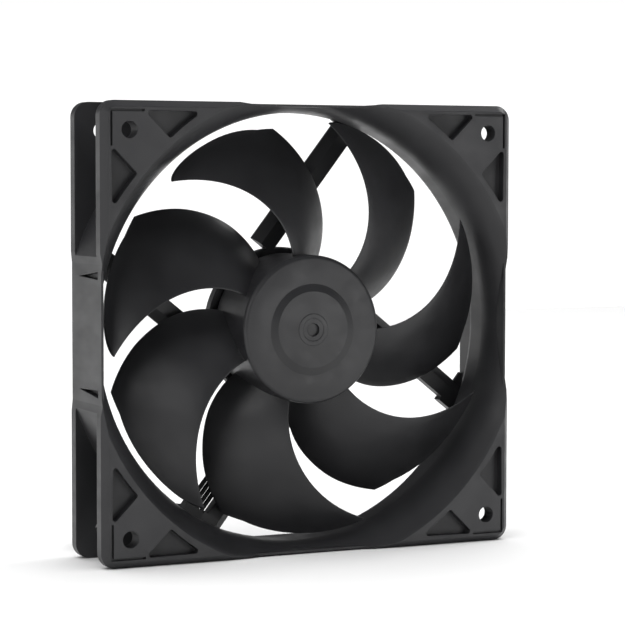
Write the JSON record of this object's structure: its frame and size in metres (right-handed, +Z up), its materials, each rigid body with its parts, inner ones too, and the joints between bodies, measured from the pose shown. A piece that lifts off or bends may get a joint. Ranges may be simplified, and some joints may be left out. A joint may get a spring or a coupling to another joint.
{
  "type": "case fan",
  "caption": "Square 120 mm axial cooling fan with open corner flanges, swept impeller, four spokes behind and a short four-core lead.",
  "frame": {"origin": "under the middle of the frame, on the surface it stands on", "axes": "+Z up, -Y the intake side, +Y the exhaust side with the spokes, +X to the right seen from the intake side"},
  "size_m": [0.12, 0.1034, 0.12],
  "materials": {
    "black_frame": "satin",
    "black_impeller": "satin",
    "plated_steel": "satin",
    "ferrite": "matte",
    "brass": "satin",
    "bronze": "satin",
    "ground_steel": "polished",
    "nylon": "satin",
    "seal_rubber": "matte",
    "dark_label": "matte",
    "core_steel": "satin",
    "board_green": "satin",
    "chip_black": "matte",
    "capacitor_tan": "satin",
    "soft_black": "matte",
    "cable_jacket": "satin",
    "tie_black": "satin",
    "plug_black": "satin",
    "copper_wire": "polished",
    "tinned_pin": "satin",
    "wire_jacket": "satin",
    "contact_metal": "satin"
  },
  "bodies": {
    "frame": {"bearing_sleeve": "bronze", "bearing_tube": "brass", "cable_hank": "cable_jacket", "cable_out": "cable_jacket", "cable_tail": "cable_jacket", "capacitor_1": "capacitor_tan", "capacitor_2": "capacitor_tan", "circuit_board": "board_green", "coil_1": "copper_wire", "coil_2": "copper_wire", "coil_3": "copper_wire", "coil_4": "copper_wire", "contact_1": "contact_metal", "contact_2": "contact_metal", "contact_3": "contact_metal", "contact_4": "contact_metal", "driver_chip": "chip_black", "end_cap": "black_frame", "grommet": "soft_black", "hall_sensor": "chip_black", "hank_tie": "tie_black", "housing": "black_frame", "lower_insulator": "nylon", "oil_seal": "seal_rubber", "plug_housing": "plug_black", "rear_disc": "dark_label", "resistor": "chip_black", "stator_core": "core_steel", "strain_relief": "soft_black", "thrust_pad": "nylon", "upper_insulator": "nylon", "winding_pin_1": "tinned_pin", "winding_pin_2": "tinned_pin", "winding_pin_3": "tinned_pin", "wire_1": "wire_jacket", "wire_2": "wire_jacket", "wire_3": "wire_jacket", "wire_4": "wire_jacket"},
    "rotor": {"impeller": "black_impeller", "rotor_yoke": "plated_steel", "ring_magnet": "ferrite", "shaft_bushing": "brass", "shaft": "ground_steel", "retaining_clip": "nylon"}
  },
  "joints": [
    {"name": "rotor_spin", "type": "hinge", "parent": "frame", "child": "rotor", "pos_m": [0, 0, 0.06], "axis": [0, -1, 0], "continuous": true}
  ]
}
